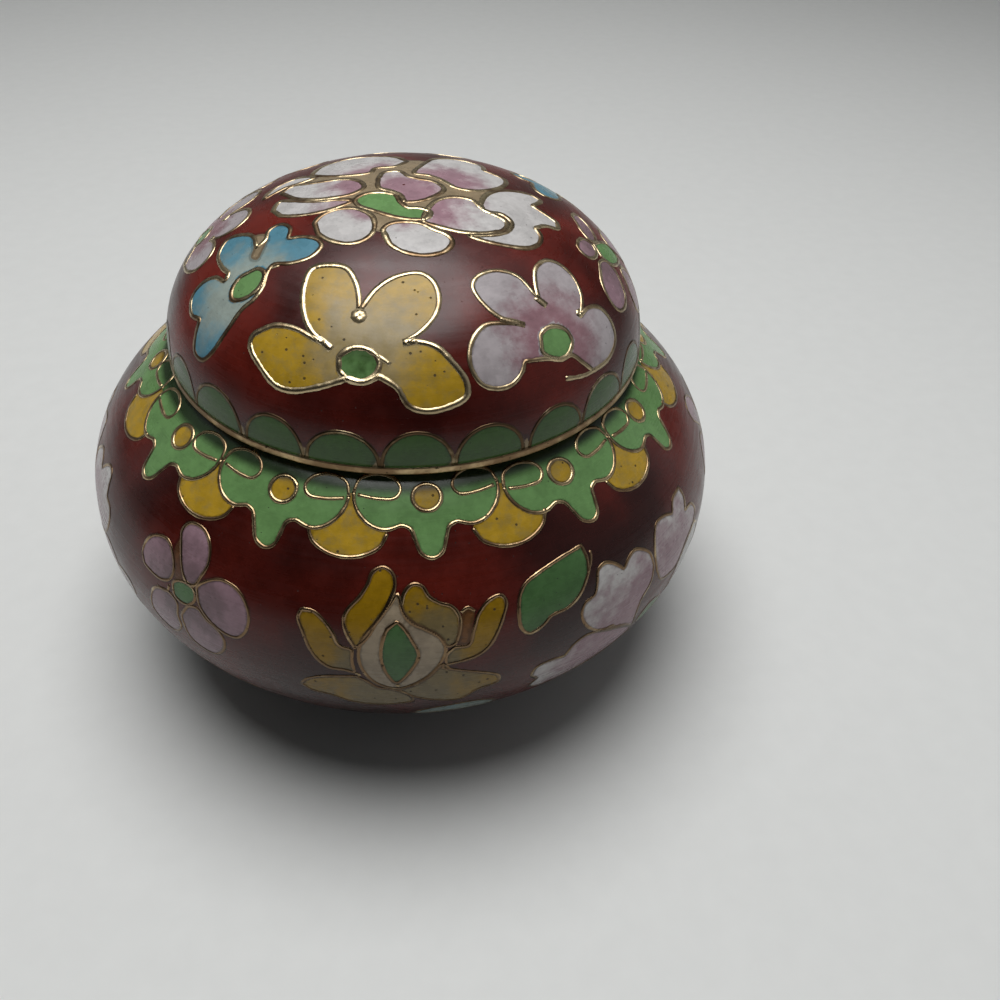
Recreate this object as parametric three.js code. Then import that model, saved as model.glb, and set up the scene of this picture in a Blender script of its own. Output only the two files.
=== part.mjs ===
// A squat cloisonne jar with a domed lift-off lid.
// The body and the lid are enamelled copper shells. Brass rings finish the foot, the mouth and
// the lid's edge. Millimetres, +Z up, with the origin on the ground under the jar's middle.
import * as THREE from 'three';

// Body shell
const BELLY_RADIUS = 38;
const SHOULDER_RISE = 21.3;
const SHOULDER_FULLNESS = 2.25;
const BASE_DROP = 24.5;
const BASE_FULLNESS = 1.93;
const BODY_WALL = 1.6;
const MOUTH_RADIUS = 22.8;
const LIP_WIDTH = 2;

// Foot ring
const FOOT_RADIUS = 19.4;
const FOOT_WIDTH = 1.6;
const FOOT_HEIGHT = 1.5;
const FOOT_LEDGE = 0.4;

// Neck ring: a seat on the body's lip, and a collar that stands up inside the lid
const COLLAR_WALL = 0.8;
const COLLAR_HEIGHT = 2;
const SEAT_THICKNESS = 0.95;
const SEAT_LAP = 0.4;

// Lid
const LID_PLAY = 0.85;
const LID_LEAST_GAP = 0.3;
const RIM_WIDTH = 2.7;
const RIM_HEIGHT = 0.9;
const RIM_STANDOUT = 0.15;
const DOME_RISE = 16.5;
const DOME_FULLNESS = 2.09;
const DOME_WALL = 1.6;

// Small flats that ease the rings' corners
const FOOT_EASE = 0.3;
const COLLAR_EASE = 0.15;
const RIM_EASE = 0.25;

// Facets
const AROUND = 48;
const BODY_STEPS = 9;
const DOME_STEPS = 9;

// Each curve is a quarter of a superellipse. It leaves the widest circle straight up or down
// and would close on the axis at its rise.
const shoulderCurve = { radius: BELLY_RADIUS, rise: SHOULDER_RISE, fullness: SHOULDER_FULLNESS };
const baseCurve = { radius: BELLY_RADIUS, rise: BASE_DROP, fullness: BASE_FULLNESS };

// The curve's point at an angle from 0, on the widest circle, to a quarter turn, on the axis.
// An inset moves the point into the wall, square to the curve.
function curvePoint(curve, angle, inset = 0) {
  const across = Math.cos(angle);
  const along = Math.sin(angle);
  const power = 2 / curve.fullness;
  const point = new THREE.Vector2(curve.radius * across ** power, curve.rise * along ** power);
  const normal = new THREE.Vector2(
    across ** (2 - power) / curve.radius,
    along ** (2 - power) / curve.rise,
  ).normalize();
  return point.addScaledVector(normal, -inset);
}

// The angle at which a test on the curve's point first stops holding.
function angleWhere(curve, inset, stillBefore) {
  let low = 0;
  let high = Math.PI / 2;
  while (high - low > 1e-9) {
    const middle = (low + high) / 2;
    if (stillBefore(curvePoint(curve, middle, inset))) {
      low = middle;
    } else {
      high = middle;
    }
  }
  return (low + high) / 2;
}

function angleAtRadius(curve, inset, radius) {
  return angleWhere(curve, inset, (point) => point.x > radius);
}

function angleAtHeight(curve, inset, height) {
  return angleWhere(curve, inset, (point) => point.y < height);
}

// Points along a curve between two angles, placed at a level, upwards or downwards.
function curveRun(curve, inset, fromAngle, toAngle, steps, level, direction) {
  const points = [];
  for (let step = 0; step <= steps; step += 1) {
    const angle = THREE.MathUtils.lerp(fromAngle, toAngle, step / steps);
    const point = curvePoint(curve, angle, inset);
    points.push(new THREE.Vector2(point.x, level + direction * point.y));
  }
  return points;
}

function turned(profile) {
  const geometry = new THREE.LatheGeometry(profile, AROUND);
  geometry.rotateX(Math.PI / 2);
  return geometry;
}

// A profile's closing point, the same as its first.
function closed(profile) {
  return [...profile, profile[0].clone()];
}

const baseRadius = FOOT_RADIUS - FOOT_LEDGE;
const baseAngle = angleAtRadius(baseCurve, 0, baseRadius);
const bellyLevel = FOOT_HEIGHT + curvePoint(baseCurve, baseAngle).y;

const lipRadius = MOUTH_RADIUS + LIP_WIDTH;
const lipAngle = angleAtRadius(shoulderCurve, 0, lipRadius);
const lipLevel = bellyLevel + curvePoint(shoulderCurve, lipAngle).y;

const collarRadius = MOUTH_RADIUS + COLLAR_WALL;
const seatLevel = lipLevel + SEAT_THICKNESS;
const rimInnerRadius = collarRadius + LID_PLAY;
const lidShift = LID_PLAY - LID_LEAST_GAP;
const seatRadius = rimInnerRadius + lidShift + SEAT_LAP;

function bodyGeometry() {
  const innerFloor = FOOT_HEIGHT + BODY_WALL;
  const floorAngle = angleAtHeight(baseCurve, BODY_WALL, bellyLevel - innerFloor);
  const boreAngle = angleAtRadius(shoulderCurve, BODY_WALL, MOUTH_RADIUS);
  const outerBase = curveRun(baseCurve, 0, baseAngle, 0, BODY_STEPS, bellyLevel, -1);
  const outerShoulder = curveRun(shoulderCurve, 0, 0, lipAngle, BODY_STEPS, bellyLevel, 1);
  const innerShoulder = curveRun(shoulderCurve, BODY_WALL, boreAngle, 0, BODY_STEPS, bellyLevel, 1);
  const innerBase = curveRun(baseCurve, BODY_WALL, 0, floorAngle, BODY_STEPS, bellyLevel, -1);
  return turned([
    new THREE.Vector2(0, FOOT_HEIGHT),
    ...outerBase,
    ...outerShoulder.slice(1),
    new THREE.Vector2(MOUTH_RADIUS, lipLevel),
    ...innerShoulder,
    ...innerBase.slice(1),
    new THREE.Vector2(0, innerFloor),
  ]);
}

function footGeometry() {
  const inner = FOOT_RADIUS - FOOT_WIDTH;
  return turned(closed([
    new THREE.Vector2(inner, 0),
    new THREE.Vector2(FOOT_RADIUS - FOOT_EASE, 0),
    new THREE.Vector2(FOOT_RADIUS, FOOT_EASE),
    new THREE.Vector2(FOOT_RADIUS, FOOT_HEIGHT),
    new THREE.Vector2(inner, FOOT_HEIGHT),
  ]));
}

function neckGeometry() {
  const top = seatLevel + COLLAR_HEIGHT;
  return turned(closed([
    new THREE.Vector2(MOUTH_RADIUS, lipLevel),
    new THREE.Vector2(seatRadius, lipLevel),
    new THREE.Vector2(seatRadius, seatLevel),
    new THREE.Vector2(collarRadius, seatLevel),
    new THREE.Vector2(collarRadius, top - COLLAR_EASE),
    new THREE.Vector2(collarRadius - COLLAR_EASE, top),
    new THREE.Vector2(MOUTH_RADIUS + COLLAR_EASE, top),
    new THREE.Vector2(MOUTH_RADIUS, top - COLLAR_EASE),
  ]));
}

function rimGeometry() {
  const outer = rimInnerRadius + RIM_WIDTH;
  return turned(closed([
    new THREE.Vector2(rimInnerRadius, seatLevel),
    new THREE.Vector2(outer - RIM_EASE, seatLevel),
    new THREE.Vector2(outer, seatLevel + RIM_EASE),
    new THREE.Vector2(outer, seatLevel + RIM_HEIGHT - RIM_EASE),
    new THREE.Vector2(outer - RIM_STANDOUT, seatLevel + RIM_HEIGHT),
    new THREE.Vector2(rimInnerRadius, seatLevel + RIM_HEIGHT),
  ]));
}

function domeGeometry() {
  const domeCurve = {
    radius: rimInnerRadius + RIM_WIDTH - RIM_STANDOUT,
    rise: DOME_RISE,
    fullness: DOME_FULLNESS,
  };
  const level = seatLevel + RIM_HEIGHT;
  const crown = Math.PI / 2;
  const outer = curveRun(domeCurve, 0, 0, crown, DOME_STEPS, level, 1);
  const inner = curveRun(domeCurve, DOME_WALL, crown, 0, DOME_STEPS, level, 1);
  outer[outer.length - 1].x = 0;
  inner[0].x = 0;
  return turned([...inner, ...outer]);
}

const enamel = () => new THREE.MeshStandardMaterial({ color: 0x4a1512, roughness: 0.22, metalness: 0 });
const brass = () => new THREE.MeshStandardMaterial({ color: 0xa88452, roughness: 0.4, metalness: 1 });

function piece(name, geometry, material) {
  const mesh = new THREE.Mesh(geometry, material);
  mesh.name = name;
  return mesh;
}

const jar = new THREE.Group();
jar.add(
  piece('jar_body', bodyGeometry(), enamel()),
  piece('foot_ring', footGeometry(), brass()),
  piece('neck_ring', neckGeometry(), brass()),
);

// The lid sits loose on its seat and has slid sideways, almost against the collar.
const lid = new THREE.Group();
lid.position.x = lidShift;
lid.add(
  piece('lid_rim', rimGeometry(), brass()),
  piece('lid_dome', domeGeometry(), enamel()),
);
jar.add(lid);

export default jar;
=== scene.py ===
"""A cloisonne lidded jar: coloured enamel cells between gilt wires, on a turned body and lid."""

import bpy
import numpy as np
from mathutils import Matrix, Vector


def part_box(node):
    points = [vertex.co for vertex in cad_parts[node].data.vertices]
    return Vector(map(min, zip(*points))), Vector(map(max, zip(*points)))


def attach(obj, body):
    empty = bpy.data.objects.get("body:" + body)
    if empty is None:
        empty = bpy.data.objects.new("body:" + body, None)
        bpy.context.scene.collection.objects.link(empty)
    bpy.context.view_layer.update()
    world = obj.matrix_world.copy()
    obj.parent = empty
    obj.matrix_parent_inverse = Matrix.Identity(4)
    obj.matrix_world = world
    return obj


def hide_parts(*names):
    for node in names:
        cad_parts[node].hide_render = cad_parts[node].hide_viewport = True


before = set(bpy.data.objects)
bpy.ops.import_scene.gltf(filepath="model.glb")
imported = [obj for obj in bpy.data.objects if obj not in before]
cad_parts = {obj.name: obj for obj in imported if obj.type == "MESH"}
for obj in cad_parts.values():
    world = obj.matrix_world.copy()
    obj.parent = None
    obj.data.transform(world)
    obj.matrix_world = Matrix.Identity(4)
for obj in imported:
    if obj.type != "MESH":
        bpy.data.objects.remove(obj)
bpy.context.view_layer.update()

# Everything below is in millimetres until a mesh is made
MM = 0.001

# The turned shells' curves: quarters of superellipses, as the solids have them
SHOULDER_RISE = 21.3
SHOULDER_FULLNESS = 2.25
BASE_DROP = 24.5
BASE_FULLNESS = 1.93
DOME_FULLNESS = 2.09
WALL = 1.6
FOOT_LEDGE = 0.4
FOOT_WIDTH = 1.6
MOUTH_RADIUS = 22.8
COLLAR_WALL = 0.8
BAND_REACH = 2.55
BAND_ROUNDING = 0.22
BAND_WAVER = 0.018
FOOT_ROUNDING = 0.28
EDGE = 0.1
COLLAR_EDGE = 0.15

body_low, body_high = [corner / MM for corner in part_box("jar_body")]
dome_low, dome_high = [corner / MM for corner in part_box("lid_dome")]
rim_low, rim_high = [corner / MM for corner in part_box("lid_rim")]
neck_low, neck_high = [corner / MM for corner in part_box("neck_ring")]
foot_low, foot_high = [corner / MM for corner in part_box("foot_ring")]

BELLY_RADIUS = body_high.x
FOOT_RADIUS = foot_high.x
BASE_RADIUS = FOOT_RADIUS - FOOT_LEDGE
LIP_LEVEL = body_high.z
BELLY_LEVEL = body_low.z + BASE_DROP * (
    1 - (BASE_RADIUS / BELLY_RADIUS) ** BASE_FULLNESS) ** (1 / BASE_FULLNESS)
LIP_RADIUS = BELLY_RADIUS * (
    1 - ((LIP_LEVEL - BELLY_LEVEL) / SHOULDER_RISE) ** SHOULDER_FULLNESS) ** (1 / SHOULDER_FULLNESS)
LID_X = (dome_low.x + dome_high.x) / 2
DOME_RADIUS = (dome_high.x - dome_low.x) / 2
DOME_RISE = dome_high.z - dome_low.z

# The shoulder's last stretch, where it nears the lid's band
NECK_LIFT = 0.88
NECK_LIFT_FROM = 13.5
NECK_LIFT_TO = 22.0
# What is drawn there moves down by this share of the lift, so that it stays where the photograph shows it
LIFT_SLIP = 0.36

# Wires: flat gilt strips set on edge and ground flush
WIRE_WIDTH = 0.44
BODY_WIRE_WIDTH = 0.38
WIRE_PROUD = 0.025
WIRE_SUNK = 0.12
WIRE_STEP = 0.3
# How much a wire's width and its rubbed look waver along it, and the grain on top of that
WIDTH_WAVER = 0.16
WIDTH_GRAIN = 0.06
RUB_WAVER = 0.22
RUB_GRAIN = 0.05

# Grids
LID_COLUMNS = 576
LID_STEP = 0.3
BODY_COLUMNS = 576
BODY_STEP = 0.4
BAND_COLUMNS = 576
RING_COLUMNS = 288

# The band of half-rounds on the lid's edge, and the band of lappets on the shoulder
SCALLOPS = 23
SCALLOP_HEIGHT = 3.65
SCALLOP_TURN = 0.65
LAPPETS = 12
LAPPET_TURN = 3.4
LAPPET_ARC = 19.2
EYE_RADIUS = 1.4
EYE_LIFT = 0.75
# How far a lappet's drop swings to the side, for each mm that it hangs and each degree of its lean
SWING = np.array([0.5, 0.0]) / 3.5
# Lappets that hang out of line: by degrees and by mm
LAPPET_NUDGES = {0: (0.0, 0.1), 1: (0.0, -0.7), 2: (-1.0, -0.9), 10: (0.5, -0.6), 11: (0.0, -0.4)}

# Depths in a cell are kept between this and its negative
FAR = 2.0


# Curves


def bend(points, closed=False):
    """A smooth curve through the points, in cubic stretches. Its slope at each point comes from the point's
    neighbours, and the spacing is the square root of the distance, so that close points don't overshoot."""
    points = np.asarray(points, float)
    if closed:
        points = np.vstack([points[-2:], points, points[:3]])
    knots = np.concatenate([[0], np.cumsum(np.hypot(*np.diff(points, axis=0).T) ** 0.5)])
    slopes = np.gradient(points, knots, axis=0)
    fine = np.linspace(0, 1, 13)[:-1]
    start, finish = points[:-1, None], points[1:, None]
    span = np.diff(knots)[:, None, None]
    t = fine[None, :, None]
    curve = (start * (1 + 2 * t) * (1 - t) ** 2 + finish * t * t * (3 - 2 * t)
             + span * (slopes[:-1, None] * t * (1 - t) ** 2 - slopes[1:, None] * t * t * (1 - t)))
    if closed:
        return curve[2:-2].reshape(-1, 2)[: -2 * len(fine) + len(fine)]
    return np.vstack([curve.reshape(-1, 2), points[-1:]])


def outline(*arcs):
    """A closed outline: bent arcs joined at sharp corners, or one arc bent round on itself."""
    if len(arcs) == 1:
        return bend(arcs[0], closed=True)
    runs = [bend(arc)[:-1] if np.allclose(arc[-1], arcs[(n + 1) % len(arcs)][0]) else bend(arc)
            for n, arc in enumerate(arcs)]
    return np.vstack(runs)


def evenly(path, step, closed):
    """The path again, with its points evenly spaced along it."""
    if closed:
        path = np.vstack([path, path[:1]])
    along = np.concatenate([[0], np.cumsum(np.linalg.norm(np.diff(path, axis=0), axis=1))])
    count = max(4, int(round(along[-1] / step)))
    marks = np.linspace(0, along[-1], count + 1)
    if closed:
        marks = marks[:-1]
    return np.stack([np.interp(marks, along, path[:, k]) for k in range(path.shape[1])], axis=1)


def depth_inside(points, edge):
    """How deep each point lies inside a closed edge, in mm, and negative outside: the distance to the nearest
    side, with its sign from whether a ray to the right crosses the edge an odd number of times."""
    a = edge[None]
    b = np.roll(edge, -1, axis=0)[None]
    p = points[:, None]
    side = b - a
    along = np.clip(((p - a) * side).sum(2) / np.maximum((side ** 2).sum(2), 1e-12), 0, 1)
    distance = np.linalg.norm(p - a - along[..., None] * side, axis=2).min(1)
    spans = (a[..., 1] > p[..., 1]) != (b[..., 1] > p[..., 1])
    rise = np.where(np.abs(side[..., 1]) < 1e-12, 1e-12, side[..., 1])
    right = p[..., 0] < a[..., 0] + side[..., 0] * (p[..., 1] - a[..., 1]) / rise
    inside = (spans & right).sum(1) % 2 == 1
    return np.where(inside, distance, -distance)


# Turned skins


def quarter(radius, rise, fullness, inset=0.0, count=1500):
    """A quarter of a superellipse from its widest circle to the axis. The radius goes with an angle's cosine
    and the height with its sine, each to the power of 2 over the fullness. The inset moves it in, square to
    itself. Gives radii, heights, and the two parts of the outward normal."""
    angle = np.linspace(0, np.pi / 2, count)
    across, along = np.maximum(np.cos(angle), 0), np.sin(angle)
    power = 2 / fullness
    normal = np.stack([across ** (2 - power) / radius, along ** (2 - power) / rise])
    normal /= np.linalg.norm(normal, axis=0)
    out = radius * across ** power - inset * normal[0]
    up = rise * along ** power - inset * normal[1]
    return out, up, normal[0], normal[1]


class Skin:
    """The outer face of a turned shell. A point on it is an azimuth in degrees, 0 towards the camera and
    growing to the right, and an arc in mm along the meridian. The arc grows upwards where rising is 1. Slip
    gives drawn arcs and the true ones where they come on the skin."""

    def __init__(self, meridian, arc_zero, middle_x, rising, columns, arcs, slip=None):
        out, up, normal_out, normal_up = meridian
        self.slip = slip or (np.array([-99.0, 99.0]),) * 2
        arc = np.concatenate([[0], np.cumsum(np.hypot(np.diff(out), np.diff(up)))])
        self.arc = arc - arc[arc_zero]
        self.out, self.up, self.normal_out, self.normal_up = out, up, normal_out, normal_up
        self.middle_x, self.rising = middle_x, rising
        self.columns, self.arcs = columns, arcs
        self.azimuths = np.arange(columns) * 360 / columns - 180
        azimuth, arc = np.meshgrid(self.azimuths, arcs)
        self.grid_azimuth, self.grid_true = azimuth.ravel(), arc.ravel()
        self.grid_arc = np.interp(self.grid_true, self.slip[1], self.slip[0])
        self.grid_radius = self.radius(self.grid_arc)
        self.depth = {colour: np.full(azimuth.size, -FAR) for colour in ENAMELS}
        self.tone = np.zeros(azimuth.size)
        self.wires = []

    def radius(self, arc):
        """The distance from the axis at an arc."""
        return np.interp(arc, self.arc, self.out)

    def normal(self, azimuth, arc):
        """The outward direction: the meridian's own, turned to the azimuth."""
        turn = np.radians(azimuth)
        out = np.interp(arc, self.arc, self.normal_out)
        up = np.interp(arc, self.arc, self.normal_up)
        normal = np.stack([out * np.sin(turn), -out * np.cos(turn), up], axis=-1)
        return normal / np.linalg.norm(normal, axis=-1, keepdims=True)

    def point(self, azimuth, arc):
        """The point in mm: the meridian's radius and height at the arc, turned to the azimuth."""
        turn = np.radians(azimuth)
        radius = self.radius(arc)
        height = np.interp(arc, self.arc, self.up)
        return np.stack([self.middle_x + radius * np.sin(turn), -radius * np.cos(turn), height], axis=-1)

    def to_skin(self, local, place):
        """Local mm, right and up, to azimuth and arc. Level lines keep their true length."""
        azimuth, arc, turn, size, flip = place
        spin = np.radians(turn)
        x = local[:, 0] * size * flip
        y = local[:, 1] * size
        x, y = x * np.cos(spin) - y * np.sin(spin), x * np.sin(spin) + y * np.cos(spin)
        arc_there = arc + self.rising * y
        return azimuth + np.degrees(x / self.radius(arc_there)), arc_there

    def to_local(self, chosen, place):
        """The grid points chosen, as local mm. The reverse of to_skin."""
        azimuth, arc, turn, size, flip = place
        across = (self.grid_azimuth[chosen] - azimuth + 180) % 360 - 180
        x = np.radians(across) * self.grid_radius[chosen]
        y = self.rising * (self.grid_arc[chosen] - arc)
        spin = -np.radians(turn)
        x, y = x * np.cos(spin) - y * np.sin(spin), x * np.sin(spin) + y * np.cos(spin)
        return np.stack([x * flip, y], axis=1) / size

    def near(self, place, reach):
        """The grid points within a local reach of a place."""
        azimuth, arc = place[:2]
        across = (self.grid_azimuth - azimuth + 180) % 360 - 180
        x = np.radians(across) * self.grid_radius
        return np.nonzero(np.hypot(x, self.grid_arc - arc) < reach * place[3])[0]

    def fill(self, colour, place, edge, root=(0.0, 0.0), reach=8.0):
        """One cell of a colour. Its tone goes from 0 at the root to 1 at the reach."""
        chosen = self.near(place, np.hypot(*edge.T).max() + FAR)
        local = self.to_local(chosen, place)
        tone = np.clip(np.hypot(*(local - np.asarray(root)).T) / reach, 0, 1)
        self.take(colour, chosen, depth_inside(local, edge) * place[3], tone)

    def take(self, colour, chosen, inside, tone):
        """Gives a colour the points inside, and takes them from the other colours."""
        for other, depth in self.depth.items():
            if other != colour:
                depth[chosen] = np.minimum(depth[chosen], -inside)
        self.depth[colour][chosen] = np.maximum(self.depth[colour][chosen], np.clip(inside, -FAR, FAR))
        near_cell = chosen[inside > -0.3]
        self.tone[near_cell] = np.broadcast_to(tone, inside.shape)[inside > -0.3]

    def wire(self, place, path, closed=True, width=WIRE_WIDTH, rub=0.0):
        """A wire along a local path. Rub is how bright its gilt is kept, from about -0.5 to 0.5."""
        azimuth, arc = self.to_skin(evenly(path, WIRE_STEP / place[3], closed), place)
        self.wires.append((azimuth, np.interp(arc, *self.slip), closed, width, rub))


class Crown(Skin):
    """A skin whose local mm are flat around the pole: the distance from the pole is the arc. Right is +X, and
    up is away from the camera."""

    def to_skin(self, local, place):
        if place is not POLE:
            return super().to_skin(local, place)
        return np.degrees(np.arctan2(local[:, 0], -local[:, 1])), np.hypot(*local.T)

    def to_local(self, chosen, place):
        if place is not POLE:
            return super().to_local(chosen, place)
        turn = np.radians(self.grid_azimuth[chosen])
        arc = self.grid_arc[chosen]
        return np.stack([arc * np.sin(turn), -arc * np.cos(turn)], axis=1)

    def near(self, place, reach):
        if place is not POLE:
            return super().near(place, reach)
        return np.nonzero(self.grid_arc < reach)[0]


POLE = (0.0, 0.0, 0.0, 1.0, 1.0)


def place(azimuth, arc, turn=0.0, size=1.0, flip=1.0):
    """Where a motif goes: its middle, its turn in degrees, its size, and -1 to flip it left to right."""
    return (azimuth, arc, turn, size, flip)


def body_skin():
    """The body's outer face: the base's quarter from the foot to the widest ring, and the shoulder's quarter
    from there to the lip, raised by shoulder_lift."""
    base = quarter(BELLY_RADIUS, BASE_DROP, BASE_FULLNESS)
    shoulder = quarter(BELLY_RADIUS, SHOULDER_RISE, SHOULDER_FULLNESS)
    low = base[0] >= BASE_RADIUS
    high = shoulder[0] >= LIP_RADIUS
    meridian = (
        np.concatenate([base[0][low][::-1], shoulder[0][high][1:]]),
        BELLY_LEVEL + np.concatenate([-base[1][low][::-1], shoulder[1][high][1:]]),
        np.concatenate([base[2][low][::-1], shoulder[2][high][1:]]),
        np.concatenate([-base[3][low][::-1], shoulder[3][high][1:]]),
    )
    belly = low.sum() - 1
    flat_length = np.concatenate([[0], np.cumsum(np.hypot(np.diff(meridian[0]), np.diff(meridian[1])))])
    lift = shoulder_lift(flat_length - flat_length[belly])
    meridian = (meridian[0], meridian[1] + lift, meridian[2], meridian[3])
    length = np.concatenate([[0], np.cumsum(np.hypot(np.diff(meridian[0]), np.diff(meridian[1])))])
    rows = int(length[-1] / BODY_STEP)
    arcs = np.linspace(0, length[-1], rows) - length[belly]
    drawn = np.linspace(arcs[0], arcs[-1] + 1, 400)
    slip = (drawn, drawn - LIFT_SLIP * shoulder_lift(drawn))
    return Skin(meridian, belly, 0.0, 1.0, BODY_COLUMNS, arcs, slip)


def shoulder_lift(arc):
    """How far the enamel stands up near the lid: a smooth step from 0 to NECK_LIFT between two arcs."""
    t = np.clip((arc - NECK_LIFT_FROM) / (NECK_LIFT_TO - NECK_LIFT_FROM), 0, 1)
    return NECK_LIFT * t * t * (3 - 2 * t)


def lid_skin():
    """The lid's outer face: a quarter of a superellipse from the pole down to the dome's foot."""
    out, up, normal_out, normal_up = [part[::-1] for part in quarter(DOME_RADIUS, DOME_RISE, DOME_FULLNESS)]
    meridian = (out, dome_low.z + up, normal_out, normal_up)
    length = np.hypot(np.diff(out), np.diff(up)).sum()
    rows = int(length / LID_STEP)
    arcs = np.linspace(0, length, rows + 1)[1:]
    return Crown(meridian, 0, LID_X, -1.0, LID_COLUMNS, arcs)


# Motifs: each is a list of cells (colour, edge, root, reach), strips of wire (points, width), gilt notches,
# pins (right, up, radius), the wires' width and how far they are rubbed


def motif(cells, strips=(), notches=(), pins=(), width=WIRE_WIDTH, rub=0.0):
    """A motif of the parts named above."""
    return {"cells": cells, "strips": strips, "notches": notches, "pins": pins, "width": width, "rub": rub}


def draw(skin, where, shape):
    """Lays a motif on a skin: it fills the cells and notches, and lays the wires. Gilt and umber cells have
    no wire of their own. Open strips and pins are rubbed brighter."""
    for colour, edge, root, reach in shape["cells"]:
        skin.fill(colour, where, edge, root, reach)
        if colour not in ("gilt", "umber"):
            skin.wire(where, edge, width=shape["width"], rub=shape["rub"])
    for notch in shape["notches"]:
        skin.fill("gilt", where, bend(notch, closed=True))
    for points, width in shape["strips"]:
        skin.wire(where, bend(points), closed=False, width=width, rub=shape["rub"] + 0.15)
    turn = np.linspace(0, 2 * np.pi, 20, endpoint=False)
    ring = np.stack([np.cos(turn), np.sin(turn)], axis=1)
    for x, y, radius in shape["pins"]:
        skin.fill("gilt", where, (x, y) + ring * max(radius - 0.45, 0.1))
        skin.wire(where, (x, y) + ring * radius * 0.5, width=radius, rub=shape["rub"] + 0.4)


YELLOW_FLOWER = motif(
    cells=[
        ("yellow", outline(
            [(-3.7, 0.1), (-5.5, 1.3), (-6.6, 3.2), (-7.0, 5.6), (-6.6, 7.4), (-4.8, 8.4), (-3.1, 8.5),
             (-2.1, 7.5), (-1.3, 5.8), (-0.9, 3.9)],
            [(-0.9, 3.9), (0.4, 6.6), (2.0, 8.1), (4.0, 8.5), (5.4, 7.6), (6.4, 5.6), (6.4, 3.8), (5.4, 2.2),
             (3.9, 1.0)],
            [(3.9, 1.0), (5.0, 1.0), (6.8, 0.4), (8.5, -1.2), (10.1, -3.3), (10.2, -4.6), (8.4, -5.4),
             (6.3, -5.6), (4.7, -5.0), (3.6, -3.4), (1.8, -2.3)],
            [(1.8, -2.3), (0.3, -3.0), (-1.2, -2.8), (-1.9, -3.1)],
            [(-1.9, -3.1), (-4.2, -4.1), (-6.8, -4.9), (-8.5, -4.8), (-10.2, -3.7), (-11.8, -2.3),
             (-11.8, -1.3), (-10.7, -0.3), (-9.2, 0.6), (-7.0, 0.9), (-5.2, 0.5), (-3.7, 0.1)],
        ), (0.0, 0.0), 8.2),
        ("green", outline([(-2.2, -0.9), (-0.9, 0.2), (0.8, 0.0), (1.7, -1.1), (1.4, -2.2), (0.2, -3.0),
                           (-1.2, -2.8), (-2.1, -2.0)]), (0.0, 3.0), 9.0),
    ],
    strips=[([(0.8, 0.0), (1.8, -0.6), (2.7, -1.2)], 0.5), ([(4.9, 1.2), (4.3, 1.0), (3.6, 0.9)], 0.8),
            ([(-4.6, 0.6), (-3.7, 0.2), (-3.0, -0.3)], 0.8)],
    pins=[(-0.85, 3.4, 0.85)],
    width=0.62,
    rub=0.15,
)

PLUM_FLOWER = motif(
    cells=[
        ("pink", outline(
            [(-2.2, 2.9), (-4.1, 4.3), (-4.8, 6.4), (-4.5, 8.2), (-3.2, 9.2), (-1.2, 9.2), (0.5, 7.8),
             (1.0, 4.6)],
            [(1.0, 4.6), (1.9, 6.3), (3.2, 7.6), (5.0, 7.7), (6.4, 6.6), (7.1, 4.6), (6.6, 2.6), (5.0, 1.1)],
            [(5.0, 1.1), (6.6, 1.2), (8.4, 0.3), (9.3, -1.7), (8.9, -3.4), (6.8, -4.4), (3.8, -4.4)],
            [(3.8, -4.4), (2.6, -3.0), (1.4, -1.7), (0.2, -1.7), (-1.6, -1.0), (-4.0, -0.5)],
            [(-4.0, -0.5), (-4.7, -1.4), (-6.3, -2.3), (-7.9, -2.3), (-9.1, -1.6), (-9.4, 0.0), (-8.8, 1.6),
             (-7.4, 3.1), (-5.8, 3.9), (-4.3, 3.7), (-2.2, 2.9)],
        ), (0.4, 0.0), 9.0),
        ("green", outline([(-1.1, 1.3), (0.5, 1.7), (2.0, 0.8), (2.2, -0.6), (0.9, -1.6), (-0.7, -1.3),
                           (-1.8, -0.1)]), (0.0, -9.0), 6.0),
    ],
    strips=[([(3.8, -4.4), (2.6, -4.3), (1.2, -4.0), (-0.2, -3.6)], 0.46),
            ([(-4.2, 4.1), (-3.3, 3.6), (-2.1, 2.8)], 0.7), ([(0.8, 5.0), (1.1, 4.3), (1.4, 3.7)], 0.8)],
    pins=[(4.9, 1.3, 0.55)],
    width=0.46,
    rub=0.05,
)

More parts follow.
